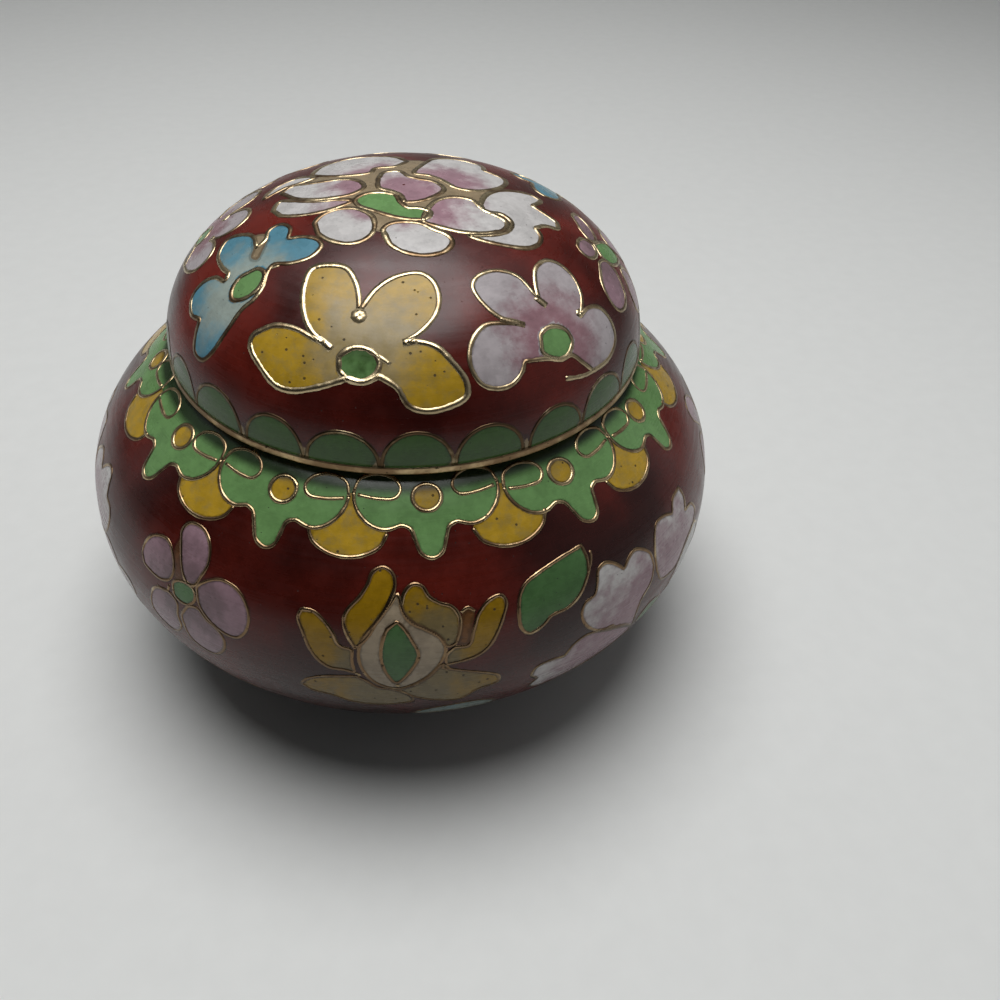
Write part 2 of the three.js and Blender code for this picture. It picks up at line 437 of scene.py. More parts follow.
BLUE_FLOWER = motif(
    cells=[
        ("blue", outline(
            [(-2.9, 3.4), (-3.0, 4.6), (-4.0, 5.5), (-3.6, 6.8), (-2.0, 7.3), (-0.7, 6.3)],
            [(-0.7, 6.3), (0.5, 7.4), (1.9, 7.9), (3.2, 7.4), (3.6, 5.7), (2.6, 4.2), (1.0, 3.1), (1.3, 2.0),
             (2.2, 0.7), (2.5, -0.9), (2.1, -2.3), (2.0, -4.9), (1.4, -7.6), (0.3, -8.9), (-1.3, -8.8),
             (-2.2, -7.2), (-2.6, -5.8)],
            [(-2.6, -5.8), (-4.6, -6.2), (-6.2, -5.1), (-5.9, -3.2), (-4.4, -1.7), (-2.7, -1.2),
             (-3.1, -0.4)],
            [(-3.1, -0.4), (-5.0, -0.6), (-7.4, -0.3), (-8.4, 1.0), (-6.7, 2.9), (-4.8, 3.8), (-2.9, 3.4)],
        ), (0.3, -1.0), 9.0),
        ("green", outline([(-0.3, 1.8), (0.8, 2.0), (1.9, 0.7), (1.6, -1.1), (0.1, -2.1), (-1.0, -1.2),
                           (-1.1, 0.4)]), (0.0, -9.0), 6.0),
    ],
    strips=[([(0.8, 2.0), (1.3, 2.8), (1.7, 3.4)], 0.34)],
    notches=[[(-4.9, 3.8), (-3.7, 5.0), (-2.7, 4.8), (-1.8, 3.6), (-1.2, 2.6), (-2.2, 2.3), (-3.2, 3.2)]],
    pins=[(-2.9, -0.8, 0.35)],
    width=0.52,
    rub=-0.1,
)

PEONY = motif(
    cells=[
        ("gilt", outline([(-11.5, 1.0), (-9.5, 4.6), (-4.0, 6.2), (0.4, 8.0), (2.6, 7.8), (5.0, 3.0),
                          (9.0, 0.0), (9.5, -4.6), (8.0, -5.4), (3.6, -9.0), (-0.8, -9.4), (-3.2, -8.8),
                          (-6.2, -5.0), (-9.6, -3.0)]), (0.0, 0.0), 9.0),
        ("white", outline(
            [(-10.2, 6.0), (-9.2, 9.0), (-6.6, 11.2), (-3.5, 11.1), (-0.8, 9.7), (0.5, 7.5)],
            [(0.5, 7.5), (-0.9, 5.6), (-3.0, 5.2), (-3.6, 3.8), (-6.0, 3.6), (-8.3, 4.4), (-10.2, 6.0)],
        ), (-2.5, 2.0), 8.0),
        ("white", outline([(-15.4, 2.6), (-14.3, 5.3), (-11.9, 6.3), (-9.8, 4.9), (-11.2, 4.2),
                           (-13.3, 3.9)]),
         (-2.0, 0.0), 8.0),
        ("white", outline([(-13.3, 2.4), (-12.2, 3.7), (-10.2, 3.1), (-8.4, 2.8), (-6.4, 2.6), (-4.8, 1.6),
                           (-4.2, -0.2), (-5.4, -1.5), (-7.6, -1.8), (-9.9, -1.3), (-12.1, 0.4)]),
         (-2.0, -0.5), 10.0),
        ("white", outline([(-13.9, -1.6), (-13.3, 0.2), (-12.0, -0.5), (-9.3, -2.0), (-7.1, -2.4),
                           (-5.4, -3.0), (-6.7, -3.9), (-8.8, -4.4), (-11.2, -4.1), (-13.2, -3.0)]),
         (-3.0, -2.5), 9.0),
        ("white", outline([(-9.2, -6.3), (-8.4, -5.0), (-6.8, -4.4), (-5.0, -4.7), (-3.4, -6.3), (-3.1, -8.1),
                           (-3.5, -9.5), (-4.7, -10.4), (-6.1, -10.4), (-7.7, -9.5), (-8.9, -8.0)]),
         (-3.2, -4.0), 5.0),
        ("white", outline([(-2.3, -8.9), (-1.6, -7.9), (-0.1, -7.6), (1.6, -7.9), (2.8, -8.8), (4.1, -9.5),
                           (4.6, -10.6), (3.8, -12.0), (1.8, -12.7), (-0.3, -12.2), (-1.8, -10.8)]),
         (0.0, -5.5), 5.0),
        ("white", outline(
            [(7.9, -3.4), (8.6, -1.2), (10.2, 0.7), (12.4, 1.8), (14.3, 2.1), (15.2, 1.4), (14.7, 0.2),
             (13.9, -0.9)],
            [(13.9, -0.9), (15.0, -1.7), (16.6, -2.8)],
            [(16.6, -2.8), (16.5, -4.2), (15.0, -4.6), (13.7, -5.7)],
            [(13.7, -5.7), (14.2, -6.7), (13.9, -8.3), (12.5, -9.6), (10.4, -10.0), (8.0, -9.9), (6.2, -9.4)],
            [(6.2, -9.4), (8.6, -8.8), (10.5, -7.6), (11.1, -5.8), (10.1, -4.6), (8.4, -4.7), (7.9, -3.4)],
        ), (5.0, -5.0), 6.0),
        ("white", outline([(1.9, -7.7), (2.3, -5.3), (3.5, -3.3), (5.3, -2.4), (7.1, -2.7), (8.0, -4.2),
                           (9.3, -5.0), (10.5, -5.9), (10.1, -7.5), (8.0, -8.6), (5.7, -8.9), (3.6, -8.4)]),
         (1.0, -5.5), 9.0),
        ("white", outline(
            [(2.2, 6.4), (3.8, 9.5), (6.5, 10.6), (9.0, 9.2), (9.2, 6.8)],
            [(9.2, 6.8), (11.4, 4.8), (10.6, 1.8), (7.8, -0.3), (5.6, -0.2), (4.1, 1.5), (2.8, 2.7),
             (1.2, 3.2), (2.2, 6.4)],
        ), (3.5, 0.5), 9.0),
        ("white", outline(
            [(-2.7, 1.8), (-2.0, 3.7), (-0.5, 3.9), (0.5, 2.3)],
            [(0.5, 2.3), (1.6, 1.6), (3.2, 1.0), (4.2, -0.8), (3.1, -2.6), (1.5, -3.7), (0.0, -4.0)],
            [(0.0, -4.0), (-0.4, -2.4), (-1.5, -1.4), (-2.6, -0.6), (-2.7, 1.8)],
        ), (0.0, -3.0), 9.5),
        ("green", outline(
            [(-0.5, -3.9), (0.3, -5.0), (1.6, -5.1), (2.6, -5.8), (2.2, -6.9), (0.8, -7.2), (-1.3, -6.6),
             (-3.3, -5.3), (-4.7, -4.2), (-5.1, -2.9), (-4.1, -1.8), (-2.5, -1.6), (-0.9, -2.3)],
            [(-0.9, -2.3), (-0.5, -3.9)],
        ), (0.0, 9.0), 6.0),
    ],
    width=0.62,
    rub=-0.1,
)

LOTUS = motif(
    cells=[
        ("amber", outline(
            [(-9.5, 3.9), (-8.3, 3.9), (-7.3, 3.1), (-6.5, 2.0), (-5.9, 0.6), (-4.6, 0.2)],
            [(-4.6, 0.2), (-4.7, -1.4), (-4.5, -2.8)],
            [(-4.5, -2.8), (-5.6, -2.5), (-7.0, -2.4), (-8.1, -1.6), (-8.9, -0.3), (-9.5, 1.6), (-9.9, 3.0),
             (-9.5, 3.9)],
        ), (-3.4, -2.6), 5.6),
        ("amber", outline(
            [(-4.3, 0.4), (-5.1, 2.1), (-5.3, 3.5), (-4.8, 4.6), (-3.8, 5.7), (-2.9, 7.1), (-2.4, 8.3),
             (-1.4, 8.8), (-0.5, 8.2), (-0.3, 7.0), (-0.9, 5.4), (-2.0, 3.5), (-3.2, 1.5), (-4.3, 0.4)],
            [(-4.3, 0.4), (-4.3, 0.5)],
        ), (-3.0, -2.0), 5.4),
        ("amber", outline(
            [(0.3, 5.0), (0.6, 6.3), (1.4, 7.1), (2.3, 6.9), (3.0, 5.8), (4.0, 5.1), (5.2, 4.6), (5.9, 3.6),
             (6.0, 2.2), (5.6, 0.6)],
            [(5.6, 0.6), (4.7, 0.4), (3.9, 1.7), (2.6, 2.6), (1.4, 3.3), (0.6, 4.2), (0.3, 5.0)],
        ), (4.2, 0.6), 7.6),
        ("umber", outline([(6.2, 4.0), (7.4, 3.8), (7.2, 2.2), (6.8, 0.3), (5.9, 0.4), (6.1, 2.0)]),
         (0.0, 0.0), 9.0),
        ("amber", outline(
            [(5.5, 0.2), (6.9, 0.2), (7.4, 1.9), (7.9, 3.5), (8.9, 4.6), (10.1, 4.9), (10.7, 4.1),
             (10.4, 2.6), (9.8, 1.0), (9.0, -0.4), (7.8, -1.3), (6.2, -1.7), (4.6, -1.9)],
            [(4.6, -1.9), (4.7, -0.6), (5.5, 0.2)],
        ), (3.4, -1.8), 5.6),
        ("amber", outline(
            [(-10.3, -5.8), (-9.6, -4.8), (-8.2, -4.0), (-6.6, -3.6), (-4.6, -3.3)],
            [(-4.6, -3.3), (-3.6, -3.8), (-2.4, -4.9), (-0.6, -5.4), (0.9, -6.6), (1.1, -7.9), (-0.6, -8.5),
             (-2.6, -8.8), (-5.3, -8.3), (-7.2, -7.2), (-9.2, -6.8), (-10.3, -5.8)],
        ), (-0.5, -6.0), 11.0),
        ("amber", outline(
            [(-0.2, -5.4), (1.4, -6.9), (3.7, -8.1), (5.9, -8.6), (8.0, -6.8), (10.1, -6.1), (10.0, -4.9),
             (7.9, -3.7), (6.4, -3.1), (5.0, -2.6)],
            [(5.0, -2.6), (4.3, -1.8), (3.0, -3.3), (1.6, -4.5), (-0.2, -5.4)],
        ), (0.5, -5.5), 12.0),
        ("stone", outline([(0.0, 6.2), (-0.9, 5.0), (-2.1, 3.4), (-3.4, 1.7), (-4.0, -0.1), (-3.8, -2.0),
                           (-2.8, -3.9), (-1.3, -4.9), (-0.2, -5.1), (0.9, -4.7), (2.5, -3.6), (4.0, -1.7),
                           (4.6, 0.0), (4.1, 1.4), (2.6, 2.5), (1.1, 3.4), (0.3, 4.8)]), (0.0, 0.0), 9.0),
        ("leaf", outline([(-0.2, 3.4), (0.6, 2.6), (1.3, 1.3), (1.9, -0.4), (1.2, -2.2), (-0.4, -4.2),
                          (-1.2, -3.1), (-1.8, -0.8), (-1.6, 1.3), (-1.0, 2.8)]), (0.0, 0.0), 9.0),
    ],
    strips=[([(-4.5, -2.8), (-4.0, -3.1), (-4.5, -3.4)], 0.3), ([(4.6, -1.9), (4.2, -2.3), (5.0, -2.6)], 0.3),
            ([(6.1, 3.9), (6.8, 4.3), (7.5, 3.8)], 0.34)],
    pins=[(-0.3, -4.6, 0.3)],
    width=BODY_WIRE_WIDTH,
    rub=-0.5,
)

LEAF = motif(
    cells=[
        ("leaf", outline(
            [(4.0, 3.1), (1.4, 2.8), (-1.2, 2.2), (-3.0, 1.5), (-3.8, 0.6), (-4.3, -1.1), (-4.3, -3.1),
             (-3.5, -4.0), (-2.0, -3.6), (-0.9, -2.8), (1.1, -2.6), (2.7, -1.7), (4.1, 0.1)],
            [(4.1, 0.1), (4.3, 1.6), (4.0, 3.1)],
        ), (0.0, 0.0), 9.0),
    ],
    strips=[([(4.1, 0.1), (4.7, 1.2), (4.9, 2.2)], 0.32)],
    width=BODY_WIRE_WIDTH,
    rub=-0.3,
)

WHITE_PEONY = motif(
    cells=[
        ("white", outline(
            [(-7.1, 2.4), (-8.6, 3.2), (-9.9, 4.8), (-10.3, 6.4), (-9.7, 7.6), (-8.4, 8.0), (-7.8, 9.0),
             (-7.2, 10.4), (-6.1, 10.8), (-5.0, 10.2), (-3.9, 8.9)],
            [(-3.9, 8.9), (-3.1, 9.6), (-1.8, 10.1), (-0.6, 9.5), (0.4, 8.4), (0.8, 6.6)],
            [(0.8, 6.6), (0.2, 4.6), (-1.4, 3.0), (-1.8, 0.8), (-1.4, -1.6)],
            [(-1.4, -1.6), (-4.0, 0.8), (-7.1, 2.4)],
        ), (-0.5, -1.5), 17.0),
        ("white", outline(
            [(1.4, 5.4), (1.2, 7.4), (1.6, 9.4), (2.6, 10.8), (4.4, 10.7), (5.9, 10.0)],
            [(5.9, 10.0), (6.8, 11.2), (8.8, 11.5)],
            [(8.8, 11.5), (9.3, 10.0), (8.9, 8.5)],
            [(8.9, 8.5), (10.8, 8.1), (12.0, 6.4), (11.2, 5.3), (8.6, 4.3), (6.4, 2.4), (4.4, 2.6),
             (2.4, 3.4), (1.4, 5.4)],
        ), (6.0, -2.0), 20.0),
        ("white", outline(
            [(-7.1, 2.2), (-8.6, 2.9), (-10.1, 3.1), (-11.4, 2.5), (-12.3, 1.2)],
            [(-12.3, 1.2), (-13.9, 1.5), (-15.6, 1.2), (-16.0, -0.2), (-15.0, -1.5)],
            [(-15.0, -1.5), (-15.4, -3.2), (-13.8, -4.6), (-11.0, -4.8), (-7.4, -4.2), (-3.6, -3.4),
             (-1.6, -2.0), (-3.8, 0.4), (-7.1, 2.2)],
        ), (0.5, -1.0), 24.0),
        ("white", outline(
            [(-2.0, -3.6), (-5.6, -5.4), (-8.4, -8.2), (-8.4, -10.6)],
            [(-8.4, -10.6), (-6.8, -12.4), (-4.2, -12.8)],
            [(-4.2, -12.8), (-2.0, -13.4), (0.4, -12.0), (1.6, -8.6), (0.8, -5.0), (-2.0, -3.6)],
        ), (0.5, -1.0), 11.0),
        ("white", outline(
            [(3.0, -4.0), (3.4, -7.8), (5.6, -10.6), (8.4, -11.0)],
            [(8.4, -11.0), (10.8, -9.4), (11.2, -6.6)],
            [(11.2, -6.6), (9.6, -4.0), (6.4, -2.8), (3.0, -4.0)],
        ), (0.5, -1.0), 11.0),
        ("white", outline(
            [(5.0, -0.8), (8.0, -2.0), (11.4, -1.2), (13.2, 0.8)],
            [(13.2, 0.8), (13.4, 3.4), (11.6, 5.0)],
            [(11.6, 5.0), (8.6, 3.8), (6.2, 1.4), (5.0, -0.8)],
        ), (0.5, -1.0), 11.0),
        ("leaf", outline([(-0.8, -1.4), (0.6, 0.6), (3.0, 0.0), (4.4, -1.6), (3.2, -3.4), (0.8, -3.6)]),
         (0.0, -9.0), 6.0),
    ],
    strips=[([(-8.2, 2.9), (-7.1, 2.4), (-6.2, 2.3), (-5.6, 1.9)], 0.4)],
    width=BODY_WIRE_WIDTH,
    rub=-0.3,
)

LOW_PETAL = motif(
    cells=[("blue", outline([(-4.2, -0.6), (-2.8, 1.5), (0.2, 2.4), (3.0, 2.3), (4.8, 0.4), (3.2, -2.2),
                             (0.0, -3.0), (-2.8, -2.4)]), (0.0, -7.0), 20.0)],
    width=BODY_WIRE_WIDTH,
    rub=-0.3,
)

PURPLE_PLUM = motif(
    cells=[
        ("umber", outline([(-2.4, 4.0), (-1.7, 5.6), (-1.0, 4.0), (-0.4, 1.6), (-1.4, 0.8), (-2.2, 1.6)]),
         (0.0, 0.0), 9.0),
        ("mauve", outline([(-7.1, 1.0), (-6.6, 2.8), (-5.3, 3.9), (-3.6, 4.2), (-2.5, 3.3), (-1.9, 1.8),
                           (-2.2, 0.5), (-3.6, -0.3), (-5.3, -0.3), (-6.7, 0.1)]), (0.0, 0.0), 8.0),
        ("mauve", outline([(-2.2, 5.8), (-1.8, 6.9), (-0.7, 7.3), (0.7, 7.0), (1.8, 5.8), (2.2, 4.1),
                           (1.7, 2.5), (1.2, 1.4), (0.2, 1.2), (-0.6, 2.0), (-1.4, 3.8)]), (0.0, 0.0), 8.0),
        ("mauve", outline([(1.5, 1.3), (2.5, 2.4), (4.0, 3.2), (5.7, 3.1), (7.1, 2.2), (8.0, 0.5),
                           (7.8, -1.4), (6.8, -2.6), (5.3, -2.7), (3.8, -2.1), (2.6, -1.2), (1.8, 0.0)]),
         (0.0, 0.0), 8.0),
        ("mauve", outline([(0.4, -1.6), (1.8, -1.1), (3.0, -2.0), (4.3, -2.6), (5.1, -3.7), (4.8, -5.4),
                           (3.4, -6.9), (1.7, -7.0), (0.2, -6.2), (-0.4, -4.6), (-0.5, -3.0)]),
         (0.0, 0.0), 8.0),
        ("mauve", outline([(-5.3, -2.8), (-4.4, -1.8), (-2.4, -1.2), (-1.1, -1.9), (-1.2, -3.6),
                           (-1.0, -5.2), (-2.5, -7.0), (-4.5, -6.8), (-5.8, -5.8), (-5.8, -4.2)]),
         (0.0, 0.0), 8.0),
        ("leaf", outline([(-1.8, 0.2), (-1.0, 0.9), (0.3, 1.1), (1.2, 0.8), (1.4, -0.3), (0.5, -1.3),
                          (-0.8, -1.4), (-1.6, -0.9)]), (0.0, -9.0), 6.0),
    ],
    strips=[([(-2.3, -0.3), (-2.6, -1.2), (-4.2, -1.5)], 0.34)],
    width=0.34,
    rub=-0.4,
)

PALE_FLOWER = motif(
    cells=[
        ("mauve", outline([(4.6, 3.8), (6.2, 2.9), (5.7, 2.0), (4.2, 1.2), (2.2, 1.0), (1.2, 1.8),
                           (2.4, 3.2)]), (1.0, 0.0), 8.0),
        ("mauve", outline([(-0.8, 3.4), (0.4, 2.8), (0.5, 1.5), (-0.4, 0.9), (-1.7, 1.0), (-2.6, 1.6),
                           (-2.6, 2.6), (-1.8, 3.4)]), (1.0, 0.0), 8.0),
        ("mauve", outline([(-2.2, 0.3), (-0.6, -0.3), (-0.4, -1.6), (-1.2, -3.0), (-2.6, -4.3),
                           (-4.4, -4.8), (-5.9, -4.4), (-6.4, -3.4), (-5.9, -1.9), (-4.4, -0.5)]),
         (1.0, 0.0), 8.0),
        ("mauve", outline([(1.0, -3.2), (2.4, -3.4), (3.6, -5.4), (3.2, -7.6), (1.2, -8.4), (-0.8, -7.4),
                           (-0.8, -5.2)]), (1.0, 0.0), 8.0),
        ("mauve", outline([(4.4, -1.6), (6.0, -0.6), (8.4, -1.4), (9.2, -3.4), (7.8, -5.0), (5.4, -4.6)]),
         (1.0, 0.0), 8.0),
        ("green", outline([(0.8, 1.2), (2.7, 0.4), (4.2, -1.2), (3.8, -2.8), (2.0, -2.6), (0.0, -1.4),
                           (-0.3, 0.2)]), (0.0, -9.0), 6.0),
    ],
)


def lappet():
    """One hanging lappet of the shoulder band: its whole edge, its hem, the two curls in its upper corners,
    and its round eye. The right half is given, and mirrored."""
    side = np.array([(7.05, 1.3), (7.1, 0.2), (6.7, -1.0), (5.7, -2.1), (4.3, -2.5), (2.7, -2.0)])
    drop = np.array([(2.7, -2.0), (1.9, -2.4), (1.5, -3.6), (1.0, -5.0), (0.1, -5.5)])
    mirror = np.array([-1.0, 1.0])
    far_side = (side * mirror)[::-1]
    whole_drop = np.vstack([drop, (drop * mirror)[::-1][1:]])
    edge = outline(side, whole_drop, far_side, [(-7.05, 1.3), (-6.6, 2.7), (0.0, 3.0), (6.6, 2.7),
                                                (7.05, 1.3)])
    hem = np.vstack([bend(side), bend(whole_drop)[1:], bend(far_side)[1:]])
    curl = np.array([(6.7, 1.0), (4.7, 0.7), (3.1, 0.8), (2.5, 1.7), (3.0, 2.8), (4.6, 3.3), (6.3, 2.7),
                     (7.05, 1.3)])
    turn = np.linspace(0, 2 * np.pi, 40, endpoint=False)
    eye = EYE_RADIUS * np.stack([np.cos(turn), np.sin(turn)], axis=1)
    return edge, hem, [curl, curl * mirror], eye


def shoulder_band(skin):
    """The band of lappets under the lid, with yellow half-rounds hung behind them."""
    edge, hem, curls, eye = lappet()
    level = LAPPET_ARC + 1.0
    band = np.nonzero(skin.grid_arc > level - FAR)[0]
    skin.take("green", band, np.clip(skin.grid_arc[band] - level, -FAR, FAR), 1.0)
    pitch = 360 / LAPPETS
    bowl = np.array([(-3.9, -2.6), (-3.3, -4.0), (-1.8, -4.9), (0.0, -5.2), (1.8, -4.9), (3.3, -4.0),
                     (3.9, -2.6)])
    half_round = outline(bowl, [(3.9, -2.6), (2.0, 0.4), (0.0, 1.4), (-2.0, 0.4), (-3.9, -2.6)])
    for n in range(LAPPETS):
        here, beyond = LAPPET_NUDGES.get(n, (0, 0)), LAPPET_NUDGES.get((n + 1) % LAPPETS, (0, 0))
        between = place(LAPPET_TURN + pitch * (n + 0.5) + (here[0] + beyond[0]) / 2,
                        LAPPET_ARC + (here[1] + beyond[1]) / 2)
        skin.fill("yellow", between, half_round, (0.0, 5.0), 8.5)
        skin.wire(between, bend(bowl), closed=False, width=BODY_WIRE_WIDTH, rub=-0.2)
    for n in range(LAPPETS):
        lean = 0.9 * np.sin(2.4 * n)
        nudge = LAPPET_NUDGES.get(n, (0.3 * np.cos(3.1 * n), 0.15 * np.sin(1.7 * n)))
        where = place(LAPPET_TURN + pitch * n + nudge[0], LAPPET_ARC + nudge[1])
        swung_edge, swung_hem = [run + lean * SWING * np.clip(-run[:, 1:] - 2.0, 0, 4) for run in (edge, hem)]
        skin.fill("green", where, swung_edge, (0.0, 12.0), 9.0)
        skin.wire(where, swung_hem, closed=False, width=0.4)
        for curl in curls:
            skin.wire(where, bend(curl), closed=False, width=BODY_WIRE_WIDTH, rub=0.2)
        set_eye = eye + (-np.sin(np.radians(where[0])), EYE_LIFT)
        skin.fill("yellow", where, set_eye, (0.0, 4.2), 3.6)
        skin.wire(where, set_eye, rub=0.25)


def scallop_band(skin):
    """Half-round scallops standing on the lid's edge, with gilt in the corners between them."""
    foot = skin.arcs[-1]
    pitch = 360 / SCALLOPS
    half = np.radians(pitch) * DOME_RADIUS / 2
    turn = np.linspace(0, np.pi, 25)
    corner = outline([(-0.75, 0.0), (-0.3, 0.7), (0.0, 1.5), (0.3, 0.7), (0.75, 0.0)],
                     [(0.75, 0.0), (-0.75, 0.0)])
    for n in range(SCALLOPS):
        width = half * (0.94 + 0.05 * np.sin(2.9 * n))
        height = SCALLOP_HEIGHT * (1 + 0.04 * np.sin(1.9 * n + 1))
        arch = np.stack([width * np.cos(turn), height * np.sin(turn) ** 0.92], axis=1)
        where = place(SCALLOP_TURN + pitch * n + 0.35 * np.sin(4.3 * n), foot)
        skin.fill("green", where, np.vstack([arch, [(-width, -1.0), (width, -1.0)]]), (0.0, 0.0), 24.0)
        skin.wire(where, arch, closed=False, width=0.4, rub=-0.35)
        skin.fill("gilt", place(SCALLOP_TURN + pitch * (n + 0.5), foot), corner)


def lid_motifs(skin):
    """The lid's picture: the peony on the crown, and flowers around it. The far side's are guessed."""
    scallop_band(skin)
    draw(skin, POLE, PEONY)
    draw(skin, place(-11.6, 23.5), YELLOW_FLOWER)
    draw(skin, place(36.7, 25.6), PLUM_FLOWER)
    draw(skin, place(-53.9, 20.6), BLUE_FLOWER)
    draw(skin, place(78.5, 23.0), PALE_FLOWER)
    draw(skin, place(-97.0, 24.0, turn=20, size=0.8), PLUM_FLOWER)
    draw(skin, place(118.0, 23.4, turn=8, flip=-1), BLUE_FLOWER)
    draw(skin, place(174.0, 24.0, turn=-4), YELLOW_FLOWER)
    draw(skin, place(-137.0, 24.4, turn=-10, size=0.9), PLUM_FLOWER)


def body_motifs(skin):
    """The body's picture: the band under the lid, then flowers and leaves. The far side's are guessed."""
    shoulder_band(skin)
    draw(skin, place(-2.5, 4.3), LOTUS)
    draw(skin, place(23.1, 8.2), LEAF)
    draw(skin, place(42.9, -2.4), WHITE_PEONY)
    draw(skin, place(-38.5, 5.5), PURPLE_PLUM)
    draw(skin, place(-78.0, -1.0, flip=-1), WHITE_PEONY)
    draw(skin, place(5.8, -8.3), LOW_PETAL)
    draw(skin, place(-37.0, -9.3, turn=150), LEAF)
    draw(skin, place(84.0, 4.8, turn=20), PURPLE_PLUM)
    draw(skin, place(112.0, 2.0), LOTUS)
    draw(skin, place(137.0, -9.0, turn=-60), LEAF)
    draw(skin, place(160.0, -1.4), WHITE_PEONY)
    draw(skin, place(-160.0, 7.0, turn=40), LEAF)
    draw(skin, place(-142.0, 4.0, turn=-25), PURPLE_PLUM)
    draw(skin, place(-115.0, 3.0, flip=-1), LOTUS)


# Meshes


def make_mesh(name, points, faces_of_three, faces_of_four, smooth=True):
    """A mesh object from arrays of points in mm and faces, turned right side out."""
    volume = 0.0
    for faces in (faces_of_three, faces_of_four[:, [0, 1, 2]], faces_of_four[:, [0, 2, 3]]):
        a, b, c = points[faces[:, 0]], points[faces[:, 1]], points[faces[:, 2]]
        volume += np.einsum("ij,ij->i", a, np.cross(b, c)).sum()
    if volume < 0:
        faces_of_three, faces_of_four = faces_of_three[:, ::-1], faces_of_four[:, ::-1]
    mesh = bpy.data.meshes.new(name)
    mesh.vertices.add(len(points))
    mesh.vertices.foreach_set("co", (points * MM).astype(np.float32).ravel())
    mesh.loops.add(faces_of_three.size + faces_of_four.size)
    mesh.loops.foreach_set("vertex_index", np.concatenate([faces_of_three.ravel(), faces_of_four.ravel()]))
    mesh.polygons.add(len(faces_of_three) + len(faces_of_four))
    starts = np.concatenate([np.arange(len(faces_of_three)) * 3,
                             faces_of_three.size + np.arange(len(faces_of_four)) * 4])
    mesh.polygons.foreach_set("loop_start", starts)
    mesh.update()
    mesh.validate()
    if smooth:
        mesh.polygons.foreach_set("use_smooth", np.ones(len(mesh.polygons), bool))
    piece = bpy.data.objects.new(name, mesh)
    bpy.context.scene.collection.objects.link(piece)
    return piece


def turned_faces(rows, columns, first=0):
    """Quads of a grid of rows that each close round, from a first point number."""
    row, column = np.meshgrid(np.arange(rows - 1), np.arange(columns), indexing="ij")
    following = (column + 1) % columns
    quads = np.stack([row * columns + column, row * columns + following,
                      (row + 1) * columns + following, (row + 1) * columns + column], axis=-1)
    return first + quads.reshape(-1, 4)


def turned_points(profile, columns, middle_x):
    """A profile of radii and heights carried round the upright axis at middle_x."""
    turn = np.radians(np.arange(columns) * 360 / columns - 180)
    radius, height = profile[:, 0, None], profile[:, 1, None]
    return np.stack([middle_x + radius * np.sin(turn), -radius * np.cos(turn),
                     height + 0 * turn], axis=-1).reshape(-1, 3)


def add_float(mesh, name, values):
    """One number at each point, for a material to read."""
    mesh.attributes.new(name, "FLOAT", "POINT").data.foreach_set("value", values.astype(np.float32))


def shell(name, skin, inner_profile, start_on_axis, materials):
    """A closed shell: the skin's grid of enamel, then an inner profile that runs from the skin's last row to
    the axis. The skin starts at the pole or, where it has a flat base, at the middle of that base. The first
    material is the skin's, and the second the lining's, on the inner profile and a flat base."""
    columns = skin.columns
    skin_points = skin.point(skin.grid_azimuth, skin.grid_true)
    inner_points = turned_points(inner_profile[:-1], columns, skin.middle_x)
    poles = np.array([[skin.middle_x, 0.0, start_on_axis], [skin.middle_x, 0.0, inner_profile[-1, 1]]])
    points = np.vstack([skin_points, inner_points, poles])
    rows = len(skin.arcs) + len(inner_profile) - 1
    quads = turned_faces(rows, columns)
    column = np.arange(columns)
    following = (column + 1) % columns
    last = (rows - 1) * columns
    first_pole, last_pole = len(points) - 2, len(points) - 1
    threes = np.vstack([
        np.stack([following, column, np.full(columns, first_pole)], axis=1),
        np.stack([last + column, last + following, np.full(columns, last_pole)], axis=1),
    ])
    piece = make_mesh(name, points, threes, quads)
    spare = len(points) - len(skin_points)
    edge = np.full(len(skin_points), FAR)
    for colour in ENAMELS:
        add_float(piece.data, "cell_" + colour, np.concatenate([skin.depth[colour], np.full(spare, -FAR)]))
        edge = np.minimum(edge, np.abs(skin.depth[colour]))
    add_float(piece.data, "edge", np.concatenate([edge, np.full(spare, FAR)]))
    add_float(piece.data, "tone", np.concatenate([skin.tone, np.zeros(spare)]))
    for material in materials:
        piece.data.materials.append(material)
    lined = np.zeros(len(piece.data.polygons), np.int32)
    lined[:columns] = skin.rising > 0
    lined[columns:2 * columns] = 1
    lined[len(threes) + (len(skin.arcs) - 1) * columns:] = 1
    piece.data.polygons.foreach_set("material_index", lined)
    return piece


